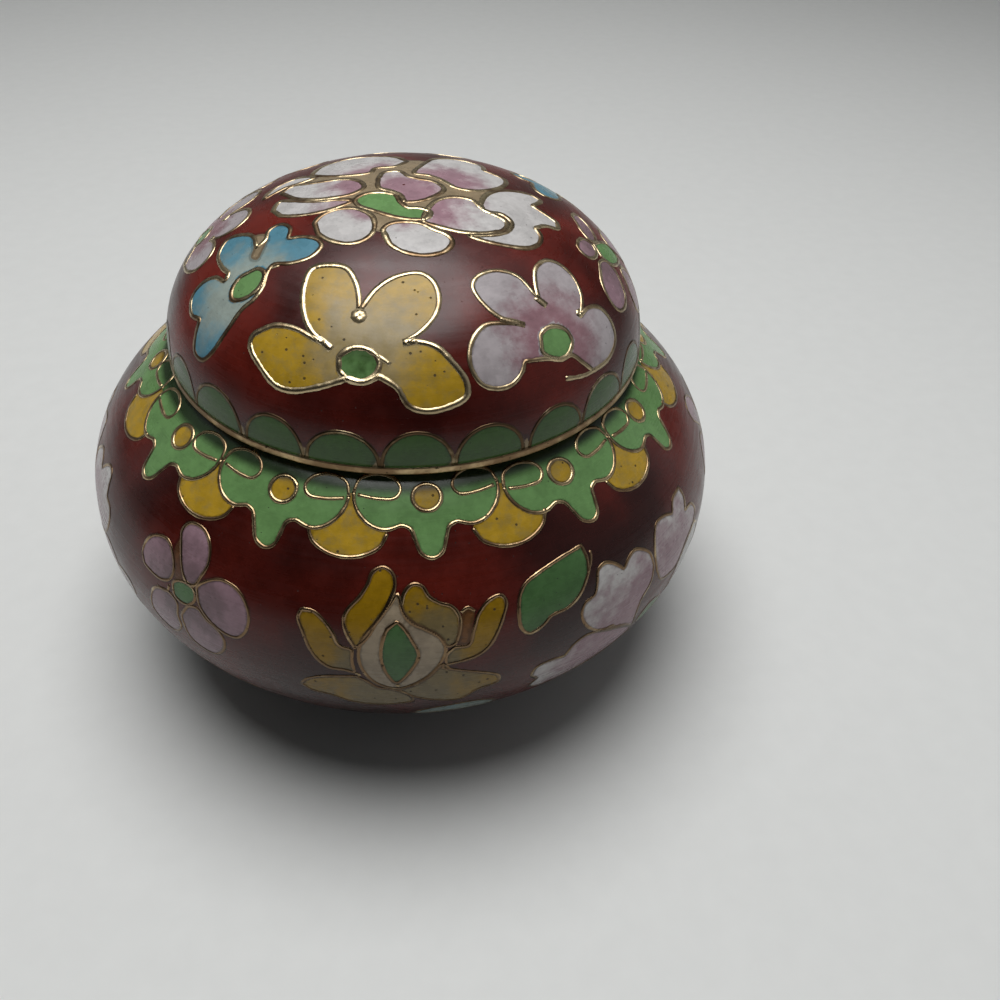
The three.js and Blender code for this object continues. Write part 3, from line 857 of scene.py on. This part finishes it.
def wire_mesh(name, skin, material, seed):
    """All of a skin's wires as one mesh. Each is a flat strip: a four-sided section carried along its path,
    square to the skin, with a width that wavers a little as hand-bent strip does."""
    rng = np.random.default_rng(seed)
    all_points, all_quads, all_caps, all_rub, first = [], [], [], [], 0
    section_side = np.array([-0.5, -0.47, 0.47, 0.5])
    section_lift = np.array([-WIRE_SUNK, WIRE_PROUD, WIRE_PROUD, -WIRE_SUNK])
    sides = len(section_side)
    for azimuth, arc, closed, width, rub in skin.wires:
        count = len(azimuth)
        centre = skin.point(azimuth, arc)
        normal = skin.normal(azimuth, arc)
        if closed:
            ahead = np.roll(centre, -1, axis=0) - np.roll(centre, 1, axis=0)
        else:
            ahead = np.gradient(centre, axis=0)
        side = np.cross(ahead, normal)
        side /= np.linalg.norm(side, axis=1, keepdims=True)
        if closed:
            turns = 2 * np.pi * np.arange(count) / count
            waver = sum(np.sin(k * turns + rng.uniform(0, 6.3)) for k in (2, 3, 5, 9)) / 4
        else:
            mark = np.arange(count) * WIRE_STEP
            waver = sum(np.sin(mark * f + rng.uniform(0, 6.3)) for f in (0.5, 1.1, 2.3, 4.1)) / 4
        wide = width * (1 + WIDTH_WAVER * waver + rng.normal(0, WIDTH_GRAIN, count))
        rubbed = rub + RUB_WAVER * waver + rng.normal(0, RUB_GRAIN, count)
        all_rub.append(np.repeat(rubbed, sides))
        points = (centre[:, None] + side[:, None] * (section_side[None, :, None] * wide[:, None, None])
                  + normal[:, None] * section_lift[None, :, None])
        all_points.append(points.reshape(-1, 3))
        spans = count if closed else count - 1
        step, corner = np.meshgrid(np.arange(spans), np.arange(sides), indexing="ij")
        beyond, beside = (step + 1) % count, (corner + 1) % sides
        quads = np.stack([step * sides + corner, step * sides + beside,
                          beyond * sides + beside, beyond * sides + corner], axis=-1)
        all_quads.append(first + quads.reshape(-1, 4))
        if not closed:
            end = first + (count - 1) * sides
            all_caps.append([first + k for k in (3, 2, 1, 0)])
            all_caps.append([end + k for k in (0, 1, 2, 3)])
        first += count * sides
    quads = np.vstack(all_quads + [np.array(all_caps).reshape(-1, 4)])
    piece = make_mesh(name, np.vstack(all_points), np.zeros((0, 3), int), quads, smooth=False)
    add_float(piece.data, "rub", np.concatenate(all_rub))
    piece.data.materials.append(material)
    return piece


def ring(name, profile, columns, middle_x, material, waver=0.0, seed=0):
    """A closed profile carried round the axis. The radius wavers by a small smooth sum of sines, as in worked
    brass."""
    points = turned_points(np.asarray(profile, float), columns, middle_x)
    if waver:
        rng = np.random.default_rng(seed)
        turn = np.arctan2(points[:, 0] - middle_x, -points[:, 1])
        drift = sum(np.sin(k * turn + rng.uniform(0, 6.3)) / k ** 0.5 for k in (3, 7, 12, 19, 31))
        out = np.hypot(points[:, 0] - middle_x, points[:, 1])
        scale = 1 + waver * drift / out
        points[:, 0] = middle_x + (points[:, 0] - middle_x) * scale
        points[:, 1] *= scale
    rows = len(profile)
    quads = turned_faces(rows + 1, columns) % (rows * columns)
    piece = make_mesh(name, points, np.zeros((0, 3), int), quads)
    piece.data.materials.append(material)
    return piece


def rounded(corners, radius, steps=4):
    """A closed profile with each corner rounded: two cuts and the curve between them."""
    corners = np.asarray(corners, float)
    points = []
    for n, corner in enumerate(corners):
        before = corners[n - 1] - corner
        after = corners[(n + 1) % len(corners)] - corner
        a = corner + before / np.linalg.norm(before) * radius
        b = corner + after / np.linalg.norm(after) * radius
        for t in np.linspace(0, 1, steps + 1):
            points.append(a * (1 - t) ** 2 + corner * 2 * t * (1 - t) + b * t * t)
    return np.array(points)


# Materials


def linear(red, green, blue):
    """A colour given as screen values of 0 to 255, in the shader's own scale."""
    value = np.array([red, green, blue]) / 255
    value = np.where(value < 0.04045, value / 12.92, ((value + 0.055) / 1.055) ** 2.4)
    return (*value, 1.0)


class Shading:
    """The nodes of one material or world. A value is a number, a colour or another node's socket."""

    def __init__(self, tree):
        self.tree = tree

    def join(self, value, socket):
        """Links the value to the socket, or sets it there when it is a plain number or colour."""
        if isinstance(value, bpy.types.NodeSocket):
            self.tree.links.new(value, socket)
        else:
            socket.default_value = value

    def arithmetic(self, operation, *values, clamp=False):
        """One arithmetic node on one or two values."""
        node = self.tree.nodes.new("ShaderNodeMath")
        node.operation = operation
        node.use_clamp = clamp
        for value, socket in zip(values, node.inputs):
            self.join(value, socket)
        return node.outputs[0]

    def plus(self, first, second, clamp=False):
        """The sum, kept from 0 to 1 where it is clamped."""
        return self.arithmetic("ADD", first, second, clamp=clamp)

    def minus(self, first, second):
        """The first less the second."""
        return self.arithmetic("SUBTRACT", first, second)

    def times(self, first, second):
        """The product."""
        return self.arithmetic("MULTIPLY", first, second)

    def ramp(self, value, low, high, out_low=0.0, out_high=1.0):
        """The value stretched from low-high to out_low-out_high, smoothly and clamped."""
        node = self.tree.nodes.new("ShaderNodeMapRange")
        node.interpolation_type = "SMOOTHSTEP"
        for number, socket in zip((value, low, high, out_low, out_high), node.inputs):
            self.join(number, socket)
        return node.outputs[0]

    def mix(self, factor, first, second, blend="MIX"):
        """Two colours mixed by a factor."""
        node = self.tree.nodes.new("ShaderNodeMix")
        node.data_type = "RGBA"
        node.blend_type = blend
        self.join(factor, node.inputs[0])
        self.join(first, node.inputs[6])
        self.join(second, node.inputs[7])
        return node.outputs[2]

    def darken(self, colour, share):
        """The colour times a share of light."""
        return self.mix(1.0, colour, share, "MULTIPLY")

    def attribute(self, name):
        """One of the mesh's own point attributes."""
        node = self.tree.nodes.new("ShaderNodeAttribute")
        node.attribute_name = name
        return node.outputs["Fac"]

    def coordinates(self):
        """The object's own coordinates in metres."""
        return self.tree.nodes.new("ShaderNodeTexCoord").outputs["Object"]

    def axes(self, vector):
        """The X, Y and Z of a vector."""
        node = self.tree.nodes.new("ShaderNodeSeparateXYZ")
        self.join(vector, node.inputs[0])
        return node.outputs

    def noise(self, scale, detail=3.0, stretch=(1.0, 1.0, 1.0), rough=0.5):
        """Noise on the object's own coordinates. The scale is in cells for each metre."""
        mapping = self.tree.nodes.new("ShaderNodeMapping")
        texture = self.tree.nodes.new("ShaderNodeTexNoise")
        self.join(self.coordinates(), mapping.inputs["Vector"])
        self.join(stretch, mapping.inputs["Scale"])
        self.join(mapping.outputs["Vector"], texture.inputs["Vector"])
        self.join(scale, texture.inputs["Scale"])
        self.join(detail, texture.inputs["Detail"])
        self.join(rough, texture.inputs["Roughness"])
        return texture.outputs["Fac"]

    def pits(self, scale, radius, swell, swollen):
        """1 in small round pits scattered through the object, and 0 elsewhere. They are larger by swell where
        swollen is 1."""
        cells = self.tree.nodes.new("ShaderNodeTexVoronoi")
        self.join(scale, cells.inputs["Scale"])
        self.join(self.coordinates(), cells.inputs["Vector"])
        distance = self.minus(cells.outputs["Distance"], self.times(swollen, swell))
        return self.ramp(distance, radius * 0.7, radius * 1.3, 1.0, 0.0)

    def bump(self, height, distance, before=None):
        """A normal tilted by the slopes of a height of so many metres, on top of the one before it."""
        node = self.tree.nodes.new("ShaderNodeBump")
        self.join(1.0, node.inputs["Strength"])
        self.join(distance, node.inputs["Distance"])
        self.join(height, node.inputs["Height"])
        if before is not None:
            self.join(before, node.inputs["Normal"])
        return node.outputs["Normal"]


def new_material(name):
    """A material, its shading and its shader's inputs."""
    material = bpy.data.materials.new(name)
    material.use_nodes = True
    return material, Shading(material.node_tree), material.node_tree.nodes["Principled BSDF"].inputs


GROUND_DARK = linear(54, 13, 8)
GROUND_LIGHT = linear(110, 34, 24)
PIT_DARK = linear(28, 14, 8)
OLIVE_STAIN = linear(142, 122, 70)
GILT_BRIGHT = linear(232, 210, 168)
GILT_KHAKI = linear(206, 182, 140)
GILT_WORN = linear(138, 112, 84)
GILT_DARK = linear(46, 34, 22)
NOTCH = linear(168, 148, 118)
TURQUOISE_DEEP = linear(58, 138, 150)
TURQUOISE_PALE = linear(84, 164, 170)
TURQUOISE_SPECK = linear(30, 70, 78)
PAPER_DULL = linear(226, 227, 225)
PAPER_BRIGHT = linear(232, 233, 231)

# Each enamel's colour at a petal's root and at its tip
ENAMELS = {
    "yellow": (linear(166, 148, 108), linear(182, 146, 40)),
    "amber": (linear(124, 108, 72), linear(146, 112, 14)),
    "green": (linear(62, 92, 44), linear(106, 146, 88)),
    "leaf": (linear(70, 106, 60), linear(84, 122, 74)),
    "white": (linear(160, 126, 136), linear(196, 193, 191)),
    "pink": (linear(146, 110, 117), linear(170, 162, 164)),
    "mauve": (linear(126, 102, 108), linear(154, 124, 134)),
    "blue": (linear(152, 164, 156), linear(84, 134, 152)),
    "stone": (linear(160, 144, 122), linear(166, 150, 126)),
    "umber": (linear(96, 62, 42), linear(112, 74, 40)),
    "gilt": (NOTCH, NOTCH),
}

# Painted shade that falls off with height or towards the lid, as two heights or radii in metres: the ground
# darker lower down, every colour darker towards the foot, and the shoulder darker beside the lid's rim
GROUND_SHADE_FALL = (0.03, 0.044)
LOW_SHADE_FALL = (0.004, 0.034)
RIM_SHADE_RADII = (0.0272, 0.0282)
SHOULDER_FOOT = (0.037, 0.038)
SHOULDER_TOP = (0.0407, 0.0412)


def enamel_material():
    """Polished enamel. Each colour fills its cells, with a tone from the petal's root to its tip, mottling, a
    dark line beside each wire, pits and fine rings from polishing. Painted shade darkens the ground lower
    down, every colour towards the foot, and the shoulder beside the lid's rim."""
    material, paint, shader = new_material("polished_enamel")
    broad = paint.noise(55, 3)
    mottle = paint.noise(420, 4, rough=0.65)
    fine = paint.noise(1800, 3)
    height = paint.axes(paint.coordinates())["Z"]
    colour = paint.mix(paint.ramp(broad, 0.36, 0.66), GROUND_DARK, GROUND_LIGHT)
    # Painted shade: the ground is darker lower down, by height
    colour = paint.darken(colour, paint.ramp(height, *GROUND_SHADE_FALL, 0.66, 1.0))
    tone = paint.plus(paint.attribute("tone"), paint.times(paint.minus(mottle, 0.5), 0.9))
    tone = paint.ramp(tone, 0.32, 0.82)
    cells = {}
    for name, (root, tip) in ENAMELS.items():
        cells[name] = paint.ramp(paint.attribute("cell_" + name), -0.04, 0.04)
        colour = paint.mix(cells[name], colour, paint.mix(tone, root, tip))
    olive = paint.times(paint.ramp(paint.noise(900, 4, rough=0.7), 0.42, 0.66), cells["yellow"])
    colour = paint.mix(paint.times(olive, 0.6), colour, OLIVE_STAIN)
    colour = paint.darken(colour, paint.plus(paint.ramp(mottle, 0.3, 0.7, 0.86, 1.08),
                                            paint.ramp(fine, 0.3, 0.7, -0.06, 0.06)))
    from_wire = paint.plus(paint.attribute("edge"), paint.times(paint.minus(fine, 0.5), 0.35))
    colour = paint.darken(colour, paint.ramp(from_wire, 0.2, 0.38, 0.6, 1.0))
    # Painted shade: every colour darkens towards the foot
    low_shade = paint.ramp(height, *LOW_SHADE_FALL, 0.4, 1.0)
    colour = paint.darken(colour, low_shade)
    # Painted shade on the shoulder beside the lid's rim
    colour = paint.darken(colour, light_beside_rim(paint, height))
    pit = paint.pits(900, 0.05, 0.07, paint.plus(cells["yellow"], cells["amber"], clamp=True))
    colour = paint.mix(paint.times(pit, 0.8), colour, PIT_DARK)
    rings = paint.noise(50, 3, stretch=(1.0, 1.0, 50.0))
    rough = paint.plus(paint.ramp(rings, 0.3, 0.75, 0.24, 0.33), paint.ramp(mottle, 0.3, 0.8, -0.03, 0.06))
    relief = paint.plus(paint.minus(paint.times(broad, 0.5), pit), paint.times(mottle, 0.25))
    paint.join(colour, shader["Base Color"])
    paint.join(paint.times(cells["gilt"], 0.35), shader["Metallic"])
    paint.join(paint.plus(rough, paint.times(pit, 0.4), clamp=True), shader["Roughness"])
    paint.join(1.52, shader["IOR"])
    # The specular level follows the painted shade towards the foot
    paint.join(paint.times(low_shade, 0.36), shader["Specular IOR Level"])
    paint.join(paint.bump(rings, 0.000006, before=paint.bump(relief, 0.00005)), shader["Normal"])
    return material


def light_beside_rim(paint, height):
    """Painted shade beside the lid's rim, for the rim's shadow on the shoulder: the share of light left
    there, little on the shoulder at the first of the rim's shade radii, and all from the second. It is 1 on
    the lid and low on the jar."""
    axes = paint.axes(paint.coordinates())
    square = paint.plus(paint.times(axes["X"], axes["X"]), paint.times(axes["Y"], axes["Y"]))
    near = paint.ramp(paint.arithmetic("SQRT", square), *RIM_SHADE_RADII, 0.85, 0.0)
    on_shoulder = paint.times(paint.ramp(height, *SHOULDER_FOOT), paint.ramp(height, *SHOULDER_TOP, 1.0, 0.0))
    return paint.minus(1.0, paint.times(near, on_shoulder))


def gilt_material(name, dull, grime, shine, bright, height_shade):
    """Gilt or bare brass: bright where it is rubbed, brown where it is worn, black in the grime. Shine is its
    lowest roughness. It darkens downwards as painted shade: the last argument gives two heights and the share
    of light at the lower."""
    material, paint, shader = new_material(name)
    wear = paint.noise(300, 4, rough=0.6)
    spots = paint.noise(1900, 3, rough=0.6)
    worn = paint.minus(wear, paint.times(paint.attribute("rub"), 0.45))
    dark = paint.ramp(spots, grime, grime + 0.12)
    colour = paint.mix(paint.ramp(worn, dull - 0.14, dull + 0.14), bright, GILT_WORN)
    colour = paint.mix(dark, colour, GILT_DARK)
    low, high, least = height_shade
    height = paint.axes(paint.coordinates())["Z"]
    # Painted shade: darker towards the bottom
    paint.join(paint.darken(colour, paint.ramp(height, low, high, least, 1.0)), shader["Base Color"])
    paint.join(1.0, shader["Metallic"])
    rough = paint.plus(paint.ramp(wear, 0.3, 0.7, shine, shine + 0.16), paint.times(dark, 0.25))
    paint.join(rough, shader["Roughness"])
    paint.join(paint.bump(spots, 0.00002), shader["Normal"])
    return material


def lining_material():
    """The plain turquoise enamel of the inside and the underside, thinly speckled."""
    material, paint, shader = new_material("turquoise_lining")
    cloud = paint.noise(120, 4)
    speck = paint.noise(900, 3)
    colour = paint.mix(paint.ramp(cloud, 0.3, 0.7), TURQUOISE_DEEP, TURQUOISE_PALE)
    paint.join(paint.mix(paint.ramp(speck, 0.66, 0.72), colour, TURQUOISE_SPECK), shader["Base Color"])
    paint.join(paint.ramp(cloud, 0.3, 0.7, 0.2, 0.34), shader["Roughness"])
    paint.join(paint.bump(speck, 0.00004), shader["Normal"])
    return material


# The jar's pieces


def body_inner_profile():
    """The body's profile from its lip, down the mouth and the inner wall, to the inner floor's middle."""
    shoulder = quarter(BELLY_RADIUS, SHOULDER_RISE, SHOULDER_FULLNESS, WALL, 200)
    base = quarter(BELLY_RADIUS, BASE_DROP, BASE_FULLNESS, WALL, 200)
    floor = body_low.z + WALL
    upper = (shoulder[0] < BELLY_RADIUS) & (shoulder[0] > MOUTH_RADIUS)
    lower = BELLY_LEVEL - base[1] > floor
    upper_run = np.stack([shoulder[0][upper], BELLY_LEVEL + shoulder[1][upper]], axis=1)[::-10]
    lower_run = np.stack([base[0][lower], BELLY_LEVEL - base[1][lower]], axis=1)[10::10]
    floor_edge = lower_run[-1, 0] - 0.8
    top = LIP_LEVEL + NECK_LIFT
    return np.vstack([
        [(LIP_RADIUS - 0.3, top), (MOUTH_RADIUS + EDGE, top), (MOUTH_RADIUS, top - EDGE)],
        upper_run, lower_run,
        [(floor_edge, floor), (floor_edge * 0.5, floor), (0.0, floor)],
    ])


def body_shell(enamel, lining):
    """The hollow body with its picture. Gives the piece, and the skin for its wires."""
    skin = body_skin()
    body_motifs(skin)
    piece = shell("body_enamel", skin, body_inner_profile(), body_low.z, (enamel, lining))
    return piece, skin


def lid_shell(enamel, lining):
    """The hollow lid with its picture: the dome's outer curve and, WALL further in, its inner one."""
    skin = lid_skin()
    lid_motifs(skin)
    inside = quarter(DOME_RADIUS, DOME_RISE, DOME_FULLNESS, WALL, 200)
    run = np.stack([inside[0], dome_low.z + inside[1]], axis=1)[::10]
    profile = np.vstack([[(DOME_RADIUS - 0.3, dome_low.z), (run[0, 0] + 0.2, dome_low.z)], run,
                         [(0.0, dome_low.z + DOME_RISE - WALL)]])
    profile = profile[np.concatenate([[True], np.hypot(*np.diff(profile, axis=0).T) > 1e-3])]
    return shell("lid_enamel", skin, profile, dome_high.z, (enamel, lining)), skin


def lid_band(brass):
    """The brass band at the lid's edge: a flat section with rounded corners, just within the solid's."""
    outer = (rim_high.x - rim_low.x) / 2
    inner = DOME_RADIUS - BAND_REACH
    top = rim_high.z - 0.02
    profile = rounded([(inner, rim_low.z), (outer - 0.05, rim_low.z), (outer - 0.08, top), (inner, top)],
                      BAND_ROUNDING)
    return ring("lid_band", profile, BAND_COLUMNS, LID_X, brass, waver=BAND_WAVER, seed=5)


def mouth_ring(brass):
    """The brass ring in the mouth: the seat under the lid's band, and the collar inside it, both bevelled."""
    collar = MOUTH_RADIUS + COLLAR_WALL
    seat, seat_top = neck_high.x, rim_low.z
    bottom, top = neck_low.z, neck_high.z
    profile = np.array([
        (MOUTH_RADIUS, bottom), (seat - EDGE, bottom), (seat, bottom + EDGE),
        (seat, seat_top - EDGE), (seat - EDGE, seat_top), (collar + COLLAR_EDGE, seat_top),
        (collar, seat_top + COLLAR_EDGE), (collar, top - COLLAR_EDGE), (collar - COLLAR_EDGE, top),
        (MOUTH_RADIUS + COLLAR_EDGE, top), (MOUTH_RADIUS, top - COLLAR_EDGE),
    ])
    return ring("mouth_ring", profile, RING_COLUMNS, 0.0, brass)


def foot(brass):
    """The brass ring under the base: a square section with rounded corners."""
    inner = FOOT_RADIUS - FOOT_WIDTH
    profile = rounded([(inner, foot_low.z), (FOOT_RADIUS, foot_low.z), (FOOT_RADIUS, foot_high.z),
                       (inner, foot_high.z)], FOOT_ROUNDING)
    return ring("foot", profile, RING_COLUMNS, 0.0, brass)


def finish_piece(piece, slot, *nodes):
    """Attaches a piece to the root body and hides the CAD nodes that it stands for. The slot is not used."""
    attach(piece, "root")
    if nodes:
        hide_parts(*nodes)


def build_jar():
    """All the jar's pieces, with their materials."""
    enamel, lining = enamel_material(), lining_material()
    # The last numbers of each give its painted shade by height
    lid_gilt = gilt_material("rubbed_gilt_wire", 0.54, 0.64, 0.24, GILT_BRIGHT, (0.041, 0.055, 0.36))
    body_gilt = gilt_material("worn_gilt_wire", 0.5, 0.62, 0.22, GILT_KHAKI, (0.016, 0.034, 0.34))
    brass = gilt_material("worn_brass", 0.42, 0.62, 0.3, GILT_KHAKI, (0.016, 0.034, 0.7))
    body, body_face = body_shell(enamel, lining)
    lid, lid_face = lid_shell(enamel, lining)
    finish_piece(body, "enamel", "jar_body")
    finish_piece(lid, "enamel", "lid_dome")
    finish_piece(wire_mesh("body_wires", body_face, body_gilt, 11), "brass")
    finish_piece(wire_mesh("lid_wires", lid_face, lid_gilt, 12), "brass")
    finish_piece(lid_band(brass), "brass", "lid_rim")
    finish_piece(mouth_ring(brass), "brass", "neck_ring")
    finish_piece(foot(brass), "brass", "foot_ring")


# Camera, floor and lights

FOCAL_PIXELS = 961
PICTURE = 1000
CAMERA_DISTANCE = 125.8
CAMERA_HEIGHT_ANGLE = 38.4
CAMERA_ROLL = 1.97
BELLY_PIXEL = (408.4, 448.5)


def place_camera():
    """The camera looks at the middle of the belly from CAMERA_DISTANCE, and is then swung so that this point
    comes at BELLY_PIXEL of the picture."""
    rise = np.radians(CAMERA_HEIGHT_ANGLE)
    back = Vector((0, -np.cos(rise), np.sin(rise)))
    right = Vector((1, 0, 0))
    level = Matrix((right, back.cross(right), back))
    roll = Matrix.Rotation(np.radians(CAMERA_ROLL), 3, "Z")
    middle = PICTURE / 2
    seen = Vector(((BELLY_PIXEL[0] - middle) / FOCAL_PIXELS, (middle - BELLY_PIXEL[1]) / FOCAL_PIXELS, -1))
    swing = Vector((0, 0, -1)).rotation_difference(seen.normalized()).to_matrix()
    spot = (back * CAMERA_DISTANCE + Vector((0, 0, BELLY_LEVEL))) * MM
    data = bpy.data.cameras.new("camera")
    data.sensor_width = 36
    data.lens = data.sensor_width * FOCAL_PIXELS / PICTURE
    data.clip_start = 0.005
    camera = bpy.data.objects.new("camera", data)
    camera.matrix_world = Matrix.Translation(spot) @ (swing @ roll @ level).transposed().to_4x4()
    bpy.context.scene.collection.objects.link(camera)
    bpy.context.scene.camera = camera


def paper_sweep():
    """A pale paper floor that curves up into a backdrop: flat, then a quarter of a circle, then upright."""
    curve, front, back, top, half_width = 160.0, -900.0, 520.0, 900.0, 1500.0
    turn = np.linspace(0, np.pi / 2, 13)
    y = np.concatenate([[front, 0.0], back + curve * np.sin(turn), [back + curve]])
    z = np.concatenate([[0.0, 0.0], curve * (1 - np.cos(turn)), [top]])
    x = np.repeat([-half_width, half_width], len(y))
    grid = np.stack([x, np.tile(y, 2), np.tile(z, 2)], axis=1)
    n = np.arange(len(y) - 1)
    quads = np.stack([n, n + len(y), n + len(y) + 1, n + 1], axis=1)
    mesh = bpy.data.meshes.new("paper")
    mesh.from_pydata((grid * MM).tolist(), [], quads.tolist())
    mesh.polygons.foreach_set("use_smooth", np.ones(len(quads), bool))
    paper = bpy.data.objects.new("paper", mesh)
    bpy.context.scene.collection.objects.link(paper)
    material, paint, shader = new_material("paper")
    paint.join(paint.mix(paint.noise(300, 3), PAPER_DULL, PAPER_BRIGHT), shader["Base Color"])
    paint.join(0.85, shader["Roughness"])
    mesh.materials.append(material)


def area_light(name, position, target, size, power):
    """A round white lamp that faces a target. Places and size are in mm, power in watts."""
    data = bpy.data.lights.new(name, "AREA")
    data.shape = "DISK"
    data.size = size * MM
    data.energy = power
    lamp = bpy.data.objects.new(name, data)
    lamp.location = Vector(position) * MM
    lamp.rotation_euler = (Vector(target) - Vector(position)).to_track_quat("-Z", "Y").to_euler()
    bpy.context.scene.collection.objects.link(lamp)


def light_room():
    """Soft daylight: a round lamp above, a glow behind the jar, and a weaker one at its right."""
    world = bpy.data.worlds.new("room")
    world.use_nodes = True
    glow = Shading(world.node_tree)
    direction = glow.axes(world.node_tree.nodes.new("ShaderNodeTexCoord").outputs["Generated"])
    behind = glow.ramp(direction["Y"], 0.05, 0.75, 0.02, 0.8)
    right = glow.ramp(direction["X"], 0.3, 0.9, 0.0, 0.2)
    background = world.node_tree.nodes["Background"].inputs
    glow.join((0.96, 0.985, 1.0, 1.0), background["Color"])
    glow.join(glow.plus(behind, right), background["Strength"])
    bpy.context.scene.world = world
    area_light("ceiling", (-15, 35, 430), (0, 0, 20), 360, 1.56)


build_jar()
place_camera()
paper_sweep()
light_room()
bpy.context.scene.view_settings.view_transform = "Standard"
